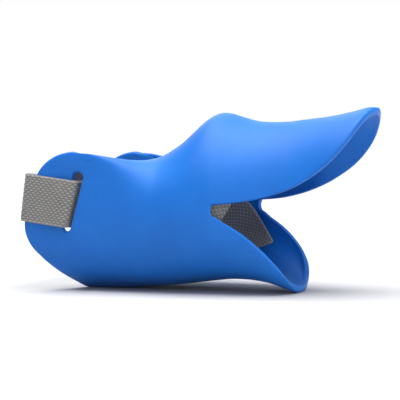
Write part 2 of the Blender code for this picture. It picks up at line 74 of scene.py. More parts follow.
def curve(stations, x):
    """Smooth value at x through listed (x, value) stations."""
    xs = [s[0] for s in stations]
    ys = [s[1] for s in stations]
    if x <= xs[0]:
        return ys[0] + (x - xs[0]) * (ys[1] - ys[0]) / (xs[1] - xs[0])
    if x >= xs[-1]:
        return ys[-1] + (x - xs[-1]) * (ys[-1] - ys[-2]) / (xs[-1] - xs[-2])
    k = max(i for i in range(len(xs) - 1) if xs[i] <= x)

    def slope(i):
        if i == 0:
            return (ys[1] - ys[0]) / (xs[1] - xs[0])
        if i == len(xs) - 1:
            return (ys[-1] - ys[-2]) / (xs[-1] - xs[-2])
        a = (ys[i] - ys[i - 1]) / (xs[i] - xs[i - 1])
        b = (ys[i + 1] - ys[i]) / (xs[i + 1] - xs[i])
        wa, wb = xs[i + 1] - xs[i], xs[i] - xs[i - 1]
        return (a * wa + b * wb) / (wa + wb)

    h = xs[k + 1] - xs[k]
    t = (x - xs[k]) / h
    return ((2 * t**3 - 3 * t**2 + 1) * ys[k] + (t**3 - 2 * t**2 + t) * h * slope(k)
            + (3 * t**2 - 2 * t**3) * ys[k + 1] + (t**3 - t**2) * h * slope(k + 1))


# the shell's stations, as in the CAD design (mm)
RIDGE_Z = [(-15.4, 18.8), (-9.1, 21.6), (-3.6, 25.5), (1.8, 30.7), (5.5, 34.2), (9.9, 36.8), (14, 36.8),
           (18, 35.6), (26, 33.5), (33, 33.0), (40, 33.2), (47, 34.0), (58, 35.3), (68, 37.3), (74.5, 38.8), (77.2, 38.6)]
KEEL_Z = [(-15.4, -36.6), (-8, -36.0), (0, -35.0), (8, -33.9), (16, -33.0), (23, -33.0), (29, -33.5), (34, -34.4),
          (39, -36.1), (43, -37.6), (46, -38.2)]
UPPER_W = [(-15.4, 34.6), (0, 34.8), (10, 34.9), (16, 34.7), (22, 32.7), (30, 29.4), (38, 26.6), (46, 25.0), (54, 25.3),
           (62, 26.0), (70, 26.0), (77.2, 25.4)]
LOWER_W = [(-15.4, 34.6), (0, 34.8), (10, 34.9), (16, 34.7), (22, 32.6), (30, 30.6), (36, 28.4), (40, 26.2), (43, 23.2),
           (45, 19.5), (46, 17.5)]
UPPER_MID = [(-15.4, -7.8), (0, -5.8), (10, -3.7), (16, -2.8), (22, -2.0), (30, -0.7), (38, 0.9), (46, 3.0), (54, 6.2),
             (62, 10.5), (70, 15.2), (77.2, 18.0)]
LOWER_MID = [(-15.4, -7.8), (0, -5.8), (10, -3.7), (16, -2.8), (22, -6.9), (30, -11.3), (36, -14.6), (40, -16.5),
             (43, -17.0), (46, -17.0)]

# How square the section's upper half is (2 is an ellipse).
UPPER_POWER = [(-15.4, 2.6), (-7, 2.3), (0, 2.1), (8, 2.0), (16, 2.0), (26, 2.0), (77.2, 2.0)]

# Front rim: for each flow line, named by its angle round the ring from the
# ridge (0) to the keel (180): where it ends (X) and at which section angle.
FRONT_X = [(0, 77.1), (9, 76.4), (18, 75.1), (27, 73.2), (36, 70.6), (45, 66.8), (54, 61.4), (62, 54.4), (69, 46.6),
           (75, 38.6), (80, 30.4), (84, 23.6), (87, 19.2), (89, 17.0), (90, 16.3), (91, 16.8), (93, 19.4), (97, 24.4),
           (103, 30.0), (110, 34.8), (118, 38.5), (127, 41.2), (137, 43.1), (150, 44.2), (165, 44.7), (180, 44.8)]
FRONT_ANGLE = [(0, 0), (9, 14), (18, 28), (27, 42), (36, 56), (45, 68), (54, 76.5), (62, 81.2), (69, 84.3), (75, 86.1),
               (80, 86.8), (84, 86.6), (87, 86.4), (89, 87.0), (90, 90), (91, 92.7), (93, 92.7), (97, 93.2), (103, 95.8),
               (110, 101.2), (118, 108.4), (127, 117.2), (137, 128.6), (150, 144.5), (165, 161.5), (180, 180)]

# Rear rim: the open-topped collar.  X, half-width and Z for each flow line.
REAR_X = [(0, -15.2), (15, -16.7), (30, -20.0), (45, -25.4), (58, -31.8), (68, -38.6), (76, -45.3), (83, -51.7),
          (90, -57.1), (98, -61.3), (106, -64.0), (113, -65.3), (121, -63.5), (130, -59.1), (142, -53.8), (155, -50.0),
          (168, -48.0), (180, -47.3)]
REAR_W = [(0, 0), (15, 9.0), (30, 18.0), (45, 27.0), (58, 32.6), (68, 34.6), (76, 35.0), (83, 35.1), (90, 35.1),
          (98, 35.1), (106, 35.0), (113, 34.6), (121, 33.4), (130, 31.0), (142, 26.0), (155, 18.0), (168, 8.8), (180, 0)]
REAR_Z = [(0, 19.2), (15, 17.8), (30, 17.0), (45, 17.6), (58, 18.9), (68, 19.9), (76, 19.7), (83, 17.7), (90, 13.7),
          (98, 6.6), (106, -2.6), (113, -10.9), (121, -17.8), (130, -23.7), (142, -29.7), (155, -34.4), (168, -37.95),
          (180, -38.7)]
COLLAR_X = -7.4


def mirrored(stations):
    """The stations with one more at each end, so that the two halves meet without a corner."""
    return ([(-stations[1][0], stations[1][1])] + stations
            + [(360 - stations[-2][0], stations[-2][1])])


RIM_X, RIM_Z = mirrored(REAR_X), mirrored(REAR_Z)


def section(x, angle):
    a = math.radians(angle)
    if angle <= 90:
        w, mid, end, n = curve(UPPER_W, x), curve(UPPER_MID, x), curve(RIDGE_Z, x), curve(UPPER_POWER, x)
    else:
        w, mid, end, n = curve(LOWER_W, x), curve(LOWER_MID, x), curve(KEEL_Z, x), 2.25
    s, c = math.sin(a), abs(math.cos(a))
    return np.array([x, w * s ** (2 / n), mid + (end - mid) * c ** (2 / n)])


def flow_point(line, t):
    if t >= 0:
        x_end, angle_end = curve(FRONT_X, line), curve(FRONT_ANGLE, line)
        x = COLLAR_X + (x_end - COLLAR_X) * t
        blend = t * t * (3 - 2 * t)
        return section(x, line + (angle_end - line) * blend)
    ring = section(COLLAR_X, line)
    rim = np.array([curve(RIM_X, line), curve(REAR_W, line), curve(RIM_Z, line)])
    chord = ring - rim
    reach = abs(ring[0] - rim[0])
    leave = np.array([reach, 0.0, 0.0]) * 0.9 + chord * 0.1
    ahead = (section(COLLAR_X + 0.5, line) - ring) / 0.5 * reach
    u = t + 1
    return ((2 * u**3 - 3 * u**2 + 1) * rim + (u**3 - 2 * u**2 + u) * leave
            + (3 * u**2 - 2 * u**3) * ring + (u**3 - u**2) * ahead)


def flow_normal(line, t):
    here = min(max(line, 0.4), 179.6)
    if t >= 0:
        x_end, angle_end = curve(FRONT_X, here), curve(FRONT_ANGLE, here)
        x = COLLAR_X + (x_end - COLLAR_X) * t
        angle = min(max(here + (angle_end - here) * t * t * (3 - 2 * t), 0.4), 179.6)
        low, high = (angle - 0.3, min(angle + 0.3, 90)) if angle <= 90 else (max(angle - 0.3, 90.01), angle + 0.3)
        along = section(x + 0.2, angle) - section(x - 0.2, angle)
        down = section(x, high) - section(x, low)
    else:
        along = flow_point(here, min(t + 0.01, 0)) - flow_point(here, t - 0.01 if t > -0.99 else t)
        down = flow_point(here + 0.3, t) - flow_point(here - 0.3, t)
    normal = np.cross(along, down)
    if line in (0, 180):
        normal[1] = 0.0
    return normal / np.linalg.norm(normal)


def smoothstep(x, a, b):
    t = min(max((x - a) / (b - a), 0.0), 1.0)
    return t * t * (3 - 2 * t)


def to_world(p):
    return Vector(((p[0] - CENTRE_X) * MM, p[1] * MM, (p[2] - STAND_Z) * MM))


# ---------------------------------------------------------------- materials
class Graph:
    """Small helper for node trees."""

    def __init__(self, name):
        self.mat = bpy.data.materials.new(name)
        self.mat.use_nodes = True
        self.tree = self.mat.node_tree
        self.bsdf = self.tree.nodes["Principled BSDF"]

    def node(self, kind, **settings):
        n = self.tree.nodes.new(kind)
        for key, value in settings.items():
            setattr(n, key, value)
        return n

    def link(self, a, b):
        self.tree.links.new(a, b)

    def set(self, **values):
        for key, value in values.items():
            self.bsdf.inputs[key.replace("_", " ")].default_value = value

    def math(self, op, a, b=None, c=None, clamp=False):
        n = self.node("ShaderNodeMath", operation=op, use_clamp=clamp)
        for i, v in enumerate((a, b, c)):
            if v is None:
                continue
            if isinstance(v, (int, float)):
                n.inputs[i].default_value = v
            else:
                self.link(v, n.inputs[i])
        return n.outputs[0]

    def noise(self, scale, detail=3.0, rough=0.5, coord=None):
        n = self.node("ShaderNodeTexNoise")
        n.inputs["Scale"].default_value = scale
        n.inputs["Detail"].default_value = detail
        n.inputs["Roughness"].default_value = rough
        if coord is None:
            coord = self.object_coord()
        self.link(coord, n.inputs["Vector"])
        return n.outputs["Fac"]

    def object_coord(self):
        if not hasattr(self, "_coord"):
            self._coord = self.node("ShaderNodeTexCoord").outputs["Object"]
        return self._coord

    def ramp(self, fac, stops):
        n = self.node("ShaderNodeValToRGB")
        e = n.color_ramp.elements
        while len(e) < len(stops):
            e.new(0.5)
        for k, (pos, colour) in enumerate(stops):
            e[k].position = pos
            e[k].color = (*colour, 1) if len(colour) == 3 else colour
        self.link(fac, n.inputs["Fac"])
        return n.outputs["Color"]

    def bump(self, height, strength, distance):
        n = self.node("ShaderNodeBump")
        n.inputs["Strength"].default_value = strength
        n.inputs["Distance"].default_value = distance
        self.link(height, n.inputs["Height"])
        self.link(n.outputs["Normal"], self.bsdf.inputs["Normal"])


def srgb(r, g, b):
    def lin(c):
        c /= 255
        return c / 12.92 if c <= 0.04045 else ((c + 0.055) / 1.055) ** 2.4
    return (lin(r), lin(g), lin(b))


def silicone_material():
    g = Graph("silicone_blue")
    cloud = g.noise(38, 4, 0.55)
    fine = g.noise(900, 2, 0.6)
    mix = g.math("ADD", g.math("MULTIPLY", cloud, 0.75), g.math("MULTIPLY", fine, 0.25))
    colour = g.ramp(mix, [(0.30, srgb(2, 90, 174)), (0.55, srgb(3, 98, 184)), (0.80, srgb(7, 106, 193))])
    g.link(colour, g.bsdf.inputs["Base Color"])
    rough = g.math("ADD", g.math("MULTIPLY", cloud, 0.10), 0.46)
    g.link(rough, g.bsdf.inputs["Roughness"])
    g.set(IOR=1.42, Specular_IOR_Level=0.38, Sheen_Weight=0.02, Sheen_Roughness=0.5)
    g.bsdf.inputs["Sheen Tint"].default_value = (0.55, 0.75, 1.0, 1)
    g.bsdf.inputs["Subsurface Weight"].default_value = 0.25
    g.bsdf.inputs["Subsurface Radius"].default_value = (0.3, 0.7, 1.4)
    g.bsdf.inputs["Subsurface Scale"].default_value = 0.0025
    grain = g.math("ADD", g.math("MULTIPLY", g.noise(3800, 2, 0.5), 0.6), g.math("MULTIPLY", g.noise(1500, 2, 0.5), 0.4))
    g.bump(grain, 0.20, 0.00012)
    return g.mat


def webbing_material(name, dark, mid, light, pitch, dash):
    """Ribbed webbing: rows of staggered thread floats, from UVs in millimetres."""
    g = Graph(name)
    uv = g.node("ShaderNodeUVMap", uv_map="weave").outputs["UV"]
    split = g.node("ShaderNodeSeparateXYZ")
    g.link(uv, split.inputs[0])
    u, v = split.outputs[0], split.outputs[1]
    row = g.math("DIVIDE", v, pitch)
    index = g.math("FLOOR", row)
    across = g.math("SUBTRACT", g.math("SUBTRACT", row, index), 0.5)
    body = g.math("SUBTRACT", 1.0, g.math("MULTIPLY", g.math("MULTIPLY", across, across), 3.6))
    phase = g.math("MULTIPLY", index, 0.5)
    along = g.math("ADD", g.math("DIVIDE", u, dash), phase)
    wave = g.math("COSINE", g.math("MULTIPLY", along, 2 * math.pi))
    wave = g.math("ADD", g.math("MULTIPLY", wave, 0.5), 0.5)
    wave = g.math("POWER", wave, 0.7)
    thread = g.math("MULTIPLY", body, g.math("ADD", g.math("MULTIPLY", wave, 0.72), 0.28), clamp=True)
    strands = g.math("COSINE", g.math("MULTIPLY", g.math("ADD", g.math("MULTIPLY", u, 0.35), g.math("MULTIPLY", v, 4.6 / pitch)), 2 * math.pi))
    detail = g.noise(2600, 3, 0.6)
    tone = g.math("ADD", thread, g.math("MULTIPLY", g.math("SUBTRACT", detail, 0.5), 0.35))
    tone = g.math("ADD", tone, g.math("MULTIPLY", strands, 0.05))
    patch = g.math("MULTIPLY", g.math("SUBTRACT", g.noise(160, 2, 0.5), 0.5), 0.22)
    selvedge = g.math("SUBTRACT", g.math("ABSOLUTE", v), WEB_WIDTH / 2 - 0.95)
    selvedge = g.math("MULTIPLY", g.math("DIVIDE", selvedge, 0.35, clamp=True), 0.30)
    tone = g.math("ADD", g.math("ADD", tone, patch), selvedge, clamp=True)
    colour = g.ramp(tone, [(0.08, dark), (0.48, mid), (0.92, light)])
    g.link(colour, g.bsdf.inputs["Base Color"])
    g.set(Roughness=0.78, Specular_IOR_Level=0.3, Sheen_Weight=0.25, Sheen_Roughness=0.45)
    height = g.math("ADD", thread, g.math("MULTIPLY", strands, 0.10))
    g.bump(height, 0.55, 0.00025)
    return g.mat


def plastic_material(name, base, rough):
    g = Graph(name)
    cloud = g.noise(120, 3, 0.5)
    fine = g.noise(2400, 2, 0.6)
    lo = tuple(c * 0.86 for c in base)
    hi = tuple(min(1.0, c * 1.16 + 0.003) for c in base)
    g.link(g.ramp(cloud, [(0.3, lo), (0.7, hi)]), g.bsdf.inputs["Base Color"])
    g.link(g.math("ADD", g.math("MULTIPLY", cloud, 0.14), rough), g.bsdf.inputs["Roughness"])
    g.set(IOR=1.48, Specular_IOR_Level=0.5)
    g.bump(fine, 0.10, 0.0001)
    return g.mat


def elastic_material(name):
    g = Graph(name)
    coord = g.node("ShaderNodeTexCoord").outputs["Object"]
    split = g.node("ShaderNodeSeparateXYZ")
    g.link(coord, split.inputs[0])
    rib = g.math("COSINE", g.math("MULTIPLY", split.outputs[1], 2 * math.pi / 0.0006))
    rib = g.math("ADD", g.math("MULTIPLY", rib, 0.5), 0.5)
    tone = g.math("ADD", g.math("MULTIPLY", rib, 0.7), g.math("MULTIPLY", g.noise(2200, 2, 0.6), 0.3))
    g.link(g.ramp(tone, [(0.1, (0.010, 0.010, 0.011)), (0.9, (0.052, 0.052, 0.055))]), g.bsdf.inputs["Base Color"])
    g.set(Roughness=0.85, Sheen_Weight=0.2)
    g.bump(tone, 0.5, 0.00015)
    return g.mat


def pile_material(name, dark, light, scale, strength):
    g = Graph(name)
    coarse = g.noise(scale * 0.35, 3, 0.6)
    fine = g.noise(scale, 4, 0.65)
    tone = g.math("ADD", g.math("MULTIPLY", coarse, 0.4), g.math("MULTIPLY", fine, 0.6))
    g.link(g.ramp(tone, [(0.32, dark), (0.68, light)]), g.bsdf.inputs["Base Color"])
    g.set(Roughness=0.95, Sheen_Weight=0.35, Sheen_Roughness=0.6)
    g.bump(tone, strength, 0.0004)
    return g.mat


def thread_material(name, base):
    g = Graph(name)
    tone = g.noise(3000, 2, 0.5)
    g.link(g.ramp(tone, [(0.3, tuple(c * 0.7 for c in base)), (0.7, tuple(min(1, c * 1.2) for c in base))]), g.bsdf.inputs["Base Color"])
    g.set(Roughness=0.7, Sheen_Weight=0.2)
    g.bump(tone, 0.3, 0.0001)
    return g.mat


silicone = silicone_material()
web_grey = webbing_material("webbing_grey", srgb(90, 89, 87), srgb(112, 111, 109), srgb(138, 136, 134), 0.98, 2.15)
acetal = plastic_material("acetal_grey", srgb(70, 71, 74), 0.34)
elastic = elastic_material("elastic_black")
loop_pile = pile_material("loop_pile", srgb(70, 72, 72), srgb(140, 141, 140), 2600, 0.9)
hook_pile = pile_material("hook_tape", srgb(52, 54, 54), srgb(112, 114, 113), 4200, 0.7)
thread = thread_material("thread_grey", srgb(176, 170, 165))


# ------------------------------------------------------------ mesh utilities
def new_object(name, verts, faces, mat, smooth=None, body="shell"):
    mesh = bpy.data.meshes.new(name)
    mesh.from_pydata([tuple(v) for v in verts], [], faces)
    bm = bmesh.new()
    bm.from_mesh(mesh)
    bmesh.ops.recalc_face_normals(bm, faces=bm.faces)
    bm.to_mesh(mesh)
    bm.free()
    obj = bpy.data.objects.new(name, mesh)
    mesh.materials.append(mat)
    bpy.context.scene.collection.objects.link(obj)
    if smooth is not None:
        mesh.shade_smooth()
        if smooth < 180:
            mesh.set_sharp_from_angle(angle=math.radians(smooth))
    return obj


def freeze(obj):
    """Applies the object's modifiers to its mesh."""
    bpy.context.view_layer.update()
    graph = bpy.context.evaluated_depsgraph_get()
    mesh = bpy.data.meshes.new_from_object(obj.evaluated_get(graph))
    obj.modifiers.clear()
    obj.data = mesh
    return obj


# ------------------------------------------------------------------ the shell
BASE_LINES = [0, 8, 16, 25, 34, 43, 52, 60, 67, 73, 78, 82, 85.5, 88.3, 90, 91.7, 94.5, 99, 105, 112, 120, 129, 139, 150, 160, 170, 180]
FINE = 4
LINES = []
for k in range(len(BASE_LINES) - 1):
    LINES += [BASE_LINES[k] + (BASE_LINES[k + 1] - BASE_LINES[k]) * s / FINE for s in range(FINE)]
LINES.append(180.0)
STEPS = [-1 + k / 44 for k in range(44)] + [k / 64 for k in range(65)]

FLAP_Y = 35.05
slot_r = math.radians(SLOT_TILT)
SLOT_U = np.array([math.sin(slot_r), math.cos(slot_r)])    # along the slot, up (x, z)
SLOT_V = np.array([math.cos(slot_r), -math.sin(slot_r)])   # across the slot, forward


def dent(p):
    """How far the strap's pull presses the wall in, just behind the slot."""
    d = np.array([p[0] - SLOT_CENTRE[0], p[2] - SLOT_CENTRE[1]])
    along, across = float(d @ SLOT_U), float(d @ SLOT_V)
    if across > 3.0 or across < -15 or abs(along) > 19:
        return 0.0
    rear = smoothstep(across, -14.0, -1.5) * (1 - smoothstep(across, 0.6, 2.6))
    return 1.15 * rear * (1 - smoothstep(abs(along), 7.0, 18.5))


def shell_grids():
    half, normals = [], []
    for line in LINES:
        half.append([flow_point(line, t) for t in STEPS])
        normals.append([flow_normal(line, t) for t in STEPS])
    for column, ns in zip(half, normals):
        for p, n in zip(column, ns):
            p[2] = max(p[2], STAND_Z)
            p -= n * dent(p)
    half, normals = np.array(half), np.array(normals)
    mirror = np.array([1, -1, 1])
    outer = np.concatenate([half, (half[1:-1] * mirror)[::-1]])
    normals = np.concatenate([normals, (normals[1:-1] * mirror)[::-1]])
    return outer, outer - WALL * normals


outer, inner = shell_grids()
rings, steps = outer.shape[0], outer.shape[1]


def lip_loops(i, reach, count):
    """Loops that round the lip from the outer wall to the inner one."""
    loops = []
    back = 1 if i == 0 else i - 1
    middle = (outer[:, i] + inner[:, i]) / 2
    arm = (outer[:, i] - inner[:, i]) / 2
    tangent = np.roll(outer[:, i], -1, axis=0) - np.roll(outer[:, i], 1, axis=0)
    push = np.cross(tangent, arm)
    push *= np.sign(np.sum(push * (outer[:, i] - outer[:, back])))
    push /= np.linalg.norm(push, axis=1)[:, None]
    for k in range(1, count):
        a = math.pi * k / count
        loops.append(middle + arm * math.cos(a) + push * reach * math.sin(a))
    return loops


def build_shell():
    columns = [inner[:, i] for i in range(steps)][::-1]          # from the front rim back, inside
    rear = lip_loops(0, 0.95, 8)[::-1]
    front = lip_loops(steps - 1, 0.55, 8)
    loops = columns + rear + [outer[:, i] for i in range(steps)] + front
    verts = [to_world(p) for loop in loops for p in loop]
    faces = []
    n = len(loops)
    for r in range(n):
        s = (r + 1) % n
        for j in range(rings):
            k = (j + 1) % rings
            faces.append([r * rings + j, r * rings + k, s * rings + k, s * rings + j])
    return new_object("silicone_shell", verts, faces, silicone)


shell = build_shell()

outer_tree = BVHTree.FromPolygons([tuple(p) for p in outer.reshape(-1, 3)], [
    (j * steps + i, ((j + 1) % rings) * steps + i, ((j + 1) % rings) * steps + i + 1, j * steps + i + 1)
    for j in range(rings) for i in range(steps - 1)])
inner_tree = BVHTree.FromPolygons([tuple(p) for p in inner.reshape(-1, 3)], [
    (j * steps + i, ((j + 1) % rings) * steps + i, ((j + 1) % rings) * steps + i + 1, j * steps + i + 1)
    for j in range(rings) for i in range(steps - 1)])


def surface_y(tree, x, z, fallback):
    hit = tree.ray_cast(Vector((x, 0.0, z)), Vector((0, 1, 0)))
    return hit[0].y if hit[0] is not None else fallback


def slot_cutter(side):
    """A flared cutter, so that both edges of the slot come out rounded."""
    outline = []
    half_l, half_w = SLOT_LENGTH / 2, SLOT_WIDTH / 2
    for k in range(40):
        a = 2 * math.pi * k / 40
        c, s = math.cos(a), math.sin(a)
        along = (half_l - half_w) * (1 if s >= 0 else -1) + half_w * s
        # the top end is a little wider than the bottom end
        width = half_w * (1.0 + 0.16 * (along / half_l))
        outline.append((along, width * c, s, c))
    r = 0.75
    rings_ = []
    for psi in (78, 62, 45, 28, 12, 0):
        o, d = r - r * math.cos(math.radians(psi)), r - r * math.sin(math.radians(psi))
        rings_.append(("out", o, d))
    sequence = [("out", r * 1.15, -0.9)] + rings_ + [("in",) + q[1:] for q in reversed(rings_)] + [("in", r * 1.15, -0.9)]
    verts = []
    for face, offset, depth in sequence:
        for along, across, s, c in outline:
            xz = np.array(SLOT_CENTRE) + SLOT_U * (along + offset * s) + SLOT_V * (across + offset * c)
            if face == "out":
                y = surface_y(outer_tree, xz[0], xz[1], FLAP_Y) - depth
            else:
                y = surface_y(inner_tree, xz[0], xz[1], FLAP_Y - WALL) + depth
            verts.append(to_world((xz[0], y * side, xz[1])))
    n = len(outline)
    faces = []
    for q in range(len(sequence) - 1):
        for k in range(n):
            m = (k + 1) % n
            faces.append([q * n + k, q * n + m, (q + 1) * n + m, (q + 1) * n + k])
    faces.append(list(range(n))[::-1])
    last = (len(sequence) - 1) * n
    faces.append(list(range(last, last + n)))
    return new_object("cutter", verts, faces, silicone)


for side in (1, -1):
    cutter = slot_cutter(side)
    cut = shell.modifiers.new("slot", "BOOLEAN")
    cut.operation = "DIFFERENCE"
    cut.object = cutter
    freeze(shell)
    bpy.data.objects.remove(cutter, do_unlink=True)
shell.data.shade_smooth()
shell.data.set_sharp_from_angle(angle=math.radians(50))
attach(shell, "shell")
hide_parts("bill_shell")

# ------------------------------------------------------------ strap geometry
TILT = math.radians(STRAP_TILT)
E1 = np.array([math.cos(TILT), 0.0, -math.sin(TILT)])
E2 = np.array([0.0, 1.0, 0.0])
E3 = np.array([math.sin(TILT), 0.0, math.cos(TILT)])
STRAP_ORIGIN = np.array([STRAP_REF[0], 0.0, STRAP_REF[1]])
SLOT_SHEAR = math.tan(math.radians(SLOT_TILT - STRAP_TILT))


def strap_point(a, y, h):
    return STRAP_ORIGIN + a * E1 + y * E2 + h * E3


def catmull(xs, ys, new):
    """Smooth interpolation of rows ys (any shape after the first axis) at new values of x."""
    xs, ys, new = np.asarray(xs, float), np.asarray(ys, float), np.asarray(new, float)
    slopes = np.empty_like(ys)
    d = (ys[1:] - ys[:-1]) / (xs[1:] - xs[:-1]).reshape((-1,) + (1,) * (ys.ndim - 1))
    h = xs[1:] - xs[:-1]
    slopes[0], slopes[-1] = d[0], d[-1]
    for i in range(1, len(xs) - 1):
        slopes[i] = (d[i - 1] * h[i] + d[i] * h[i - 1]) / (h[i - 1] + h[i])
    k = np.clip(np.searchsorted(xs, new, side="right") - 1, 0, len(xs) - 2)
    hh = h[k].reshape((-1,) + (1,) * (ys.ndim - 1))
    t = ((new - xs[k]) / h[k]).reshape((-1,) + (1,) * (ys.ndim - 1))
    return ((2 * t**3 - 3 * t**2 + 1) * ys[k] + (t**3 - 2 * t**2 + t) * hh * slopes[k]
            + (3 * t**2 - 2 * t**3) * ys[k + 1] + (t**3 - t**2) * hh * slopes[k + 1])


def smooth_path(points, spacing):
    pts = [np.array(p, float) for p in points]
    lengths = np.concatenate([[0], np.cumsum([np.linalg.norm(b - a) for a, b in zip(pts, pts[1:])])])
    dense_l = np.linspace(0, lengths[-1], 400)
    dense = catmull(lengths, np.array(pts), dense_l)
    real = np.concatenate([[0], np.cumsum(np.linalg.norm(dense[1:] - dense[:-1], axis=1))])
    count = max(2, int(round(real[-1] / spacing)))
    return [np.array([np.interp(real[-1] * k / count, real, dense[:, c]) for c in range(dense.shape[1])])
            for k in range(count + 1)]


def wall_y(x, z):
    return surface_y(inner_tree, x, z, curve(UPPER_W, x) - WALL)


def on_wall(x, s, side, clear):
    z, left = 0.0, abs(s)
    step = 0.5 if s >= 0 else -0.5
    y = wall_y(x, z)
    while left > 1e-6:
        y2 = wall_y(x, z + step)
        d = math.hypot(y2 - y, step)
        if d >= left:
            z += step * left / d
            y += (y2 - y) * left / d
            break
        left -= d
        z, y = z + step, y2
    slope = wall_y(x, z + 0.8) - wall_y(x, z - 0.8)
    length = wall_y(x + 0.8, z) - wall_y(x - 0.8, z)
    normal = np.array([length, -1.6, slope])
    normal /= np.linalg.norm(normal)
    point = np.array([x, y, z]) + normal * clear
    return point * np.array([1, side, 1])


ACROSS = np.array([-1.0, -0.75, -0.5, -0.25, 0, 0.25, 0.5, 0.75, 1.0])


def wall_sheet(path, side, clear, half_width=WEB_WIDTH / 2, lift=FREE_END_LIFT):
    rows = []
    for i, p in enumerate(path):
        a, b = path[max(i - 1, 0)], path[min(i + 1, len(path) - 1)]
        d = (b - a) / np.linalg.norm(b - a)
        width = np.array([-d[1], d[0]])
        free = i / (len(path) - 1)
        stand_off = clear + lift * max(0.0, free - 0.6) / 0.4 + 0.5 * max(0.0, 1 - free * 5)
        rows.append([on_wall(*(p + width * k * half_width), side, stand_off) for k in ACROSS])
    return rows


FLAP_OUT = FLAP_Y + GAP + WEB_THICK / 2 - 0.15
FOLD_R = 2.5
bar_r = BAR + 0.55 + WEB_THICK / 2
B = BUCKLE_X


def bar_loop(bar_y, leg_end):
    path = [(B + bar_r, leg_end - (leg_end - bar_y) * k / 5) for k in range(5)]
    for k in range(13):
        angle = math.pi * k / 12
        path.append((B + bar_r * math.cos(angle), bar_y - bar_r * math.sin(angle)))
    for k in range(1, 8):
        path.append((B - bar_r, bar_y + (26.6 - bar_y) * k / 7))
    return path + [(B - bar_r - 0.22, 27.6), (B - bar_r - 0.75, 28.6), (B - bar_r - 2.0, 29.9)]


def side_rows(side, tail):
    """Rows of points across the strap, from the buckle to the slot."""
    path = list(tail)
    for k in range(17):
        angle = math.pi * k / 16
        path.append((FOLD_R - 0.6 - FOLD_R * math.sin(angle), FLAP_OUT - FOLD_R - FOLD_R * math.cos(angle)))
    path += [(FOLD_R - 0.6 + k * (SLOT_A - 1.1 - FOLD_R) / 8, FLAP_OUT) for k in range(1, 9)]
    path += [(SLOT_A - 0.9, FLAP_OUT - 0.25), (SLOT_A - 0.35, FLAP_OUT - 0.95), (SLOT_A - 0.12, FLAP_OUT - 2.0),
             (SLOT_A - 0.05, FLAP_OUT - 3.3), (SLOT_A + 0.3, FLAP_OUT - 4.6)]
    rows = []
    for a, y in path:
        shear = SLOT_SHEAR * smoothstep(a, 7.0, SLOT_A - 2) if y > 28 else 0.0
        rows.append([strap_point(a + shear * k * WEB_WIDTH / 2, y * side, k * WEB_WIDTH / 2) for k in ACROSS])
    return rows


def weave_height(u, v, pitch=0.98, dash=2.15):
    row = v / pitch
    index = np.floor(row)
    across = row - index - 0.5
    body = 1 - 3.6 * across**2
    wave = 0.5 + 0.5 * np.cos(2 * np.pi * (u / dash + index * 0.5))
    return np.clip(body * (0.28 + 0.72 * wave**0.7), 0, 1)


